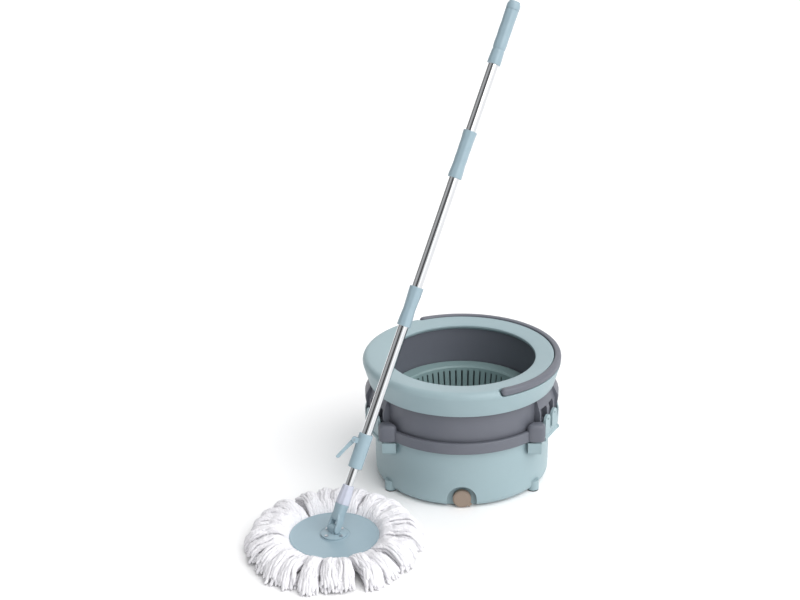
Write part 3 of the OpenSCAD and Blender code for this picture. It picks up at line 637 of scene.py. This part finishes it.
# ---- Mop plate
# A satin blue disc with a bright rounded lip, moulded over the ring that the yarn is sewn to.
# The swivel base is held on it by four screws.
def at_mop(grid):
    """From mm about the mop's axis and the top of its plate to the frame."""
    return grid * MM + np.array([mop_axis[0], mop_axis[1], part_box("mop_plate")[1][2]])


plate = lathe("plate", rounded([
    (0.01, -5, 0), (58.8, -5, 0), (58.8, -14.8, 0.5), (61.6, -14.8, 0.5), (61.6, -5, 0), (79.6, -5, 1),
    (82, -3.6, 1), (82, -1.6, 1.4), (80, -0.2, 1.2), (77.6, -0.9, 0.8), (60, -0.6, 8), (29, 0, 1),
    (28, -0.7, 0.4), (25.6, -0.7, 0.4), (24.8, 0, 0.3), (0.01, 0, 0),
]), at_mop, count=160)
dressed(plate, blue, "mop_head", "blue_plastic", "mop_plate")
dress(nylon, "strand_ring")
dress(blue, "swivel_base")
dress(steel, "base_screws")


# ---- Fork and cone
# The fork's two cheeks straddle the swivel base on a steel pin. Its socket takes the inner tube,
# and a milky cone with flat facets covers the joint.
def pole_frame():
    """The fork pin, and the pole's own axes: x ahead of the lean, y along the pin, z up the pole."""
    up = np.array(joints["pole_extend"]["axis"])
    along_pin = np.array(joints["pole_tilt"]["axis"])
    return np.array(joints["pole_tilt"]["pos_m"]), np.array([np.cross(along_pin, up), along_pin, up])


def on_pole(grid):
    """From mm along the pole to the frame."""
    pin, axes = pole_frame()
    return grid * MM @ axes + pin


def fork_cheek(side):
    """A cheek with a rounded foot round the pin, thin at the foot and merging into the socket."""
    y = 9.0 * side
    levels = [(-8.4, 1.2, 0.9, y), (-7.6, 3.6, 1.9, y), (-5, 6.5, 2.3, y), (0, 8.3, 2.4, y)]
    levels += [(6, 8.0, 2.4, y), (13, 8.4, 2.6, 0.95 * y), (20, 9.6, 3.2, 0.82 * y), (27, 10, 3.6, 0.6 * y)]
    return surface("cheek", on_pole(superellipse(smooth_levels(levels), 3.0)))


socket_levels = [(15, 7.2, 5.4, 0), (16.2, 9, 8.6, 0), (20, 10, 10, 0), (28, 10.8, 10.6, 0)]
socket_levels += [(38, 11.6, 11.4, 0), (44.8, 12.2, 12.1, 0), (46, 11.6, 11.6, 0)]
socket = surface("socket", on_pole(superellipse(smooth_levels(socket_levels), 2.5)))
fork = join("fork", socket, fork_cheek(-1), fork_cheek(1))
dressed(fork, blue, "fork", "blue_plastic", "pole_fork")
cone = lathe("cone", rounded([
    (7.6, 46.1, 0.2), (12.6, 46.1, 0.6), (12.9, 49, 2), (12.5, 58, 4), (11.2, 72, 6), (10.5, 81, 0.8),
    (9.4, 82, 0.4), (7.6, 82, 0.2),
]), on_pole, flats=8, depth=0.075)
clear_finish = Finish("clear_plastic", Coat_Weight=0.3, Coat_Roughness=0.2, Specular_IOR_Level=0.5)
haze = clear_finish.noise(120, 3)
clear = clear_finish.paint(
    Base_Color=clear_finish.mix(haze, rgb(196, 200, 214), rgb(180, 185, 201)), Roughness=0.28 + haze * 0.12
)
dressed(cone, clear, "fork", "clear_plastic", "ferrule_cone")
dress(steel, "fork_pin", "drive_rod")


# ---- Pole
# Three chromed tubes joined by screwed sleeves, sliding on a thinner inner tube. The collar's lever
# clamps the two, and the grip has shallow waists for the fingers.
dress(chrome, "inner_tube", "lower_tube", "middle_tube", "upper_tube")
dress(nylon, "glide_bush", "drive_nut")
dress(steel, "lever_pin")
dress(blue, "lever_collar", "lock_lever")


tube_hole = (9.4, 0.2)
solid = (0.01, 0)


def sleeve(name, node, waists, flats=8, depth=0.03, top=1.2, bore=tube_hole):
    """A moulded sleeve round a tube. waists lists (share of the length, outer radius in mm), and
    bore is the hole's radius and the softening of its lower edge."""
    pin, axes = pole_frame()
    reach = (middle(node) - pin) @ axes[2] / MM
    half = pole_lengths[node] / 2
    outline = [(bore[0], reach - half, bore[1]), (waists[0][1] - 0.2, reach - half, 0.8)]
    outline += [(radius, reach - half + 2 * half * share, 3) for share, radius in waists]
    outline += [(waists[-1][1] - 0.2, reach + half, top), (bore[0], reach + half, 0.2)]
    piece = lathe(name, rounded(outline), on_pole, flats=flats, depth=depth)
    return dressed(piece, blue, "pole", "blue_plastic", node)


pole_lengths = {"lower_joint": 75, "upper_joint": 90, "hand_grip": 105, "end_cap": 16}
sleeve("joint_low", "lower_joint", [
    (0.02, 12.8), (0.16, 12.6), (0.45, 11.3), (0.52, 11.6), (0.75, 12.4), (0.98, 13.0)
])
sleeve("joint_high", "upper_joint", [
    (0.02, 13.0), (0.12, 12.9), (0.30, 11.7), (0.45, 12.1), (0.55, 11.7), (0.68, 12.2), (0.80, 12.0),
    (0.98, 13.0)
])
sleeve("grip", "hand_grip", [
    (0.02, 12.6), (0.10, 12.4), (0.24, 11.7), (0.255, 11.2), (0.275, 11.2), (0.29, 12.0), (0.40, 12.4),
    (0.50, 11.9), (0.62, 12.4), (0.74, 12.0), (0.86, 12.3), (0.98, 12.4)
])
cap_waists = [(0.02, 12.4), (0.30, 12.8), (0.62, 12.5), (0.85, 10.6)]
sleeve("cap", "end_cap", cap_waists, depth=0.01, top=3, bore=solid)
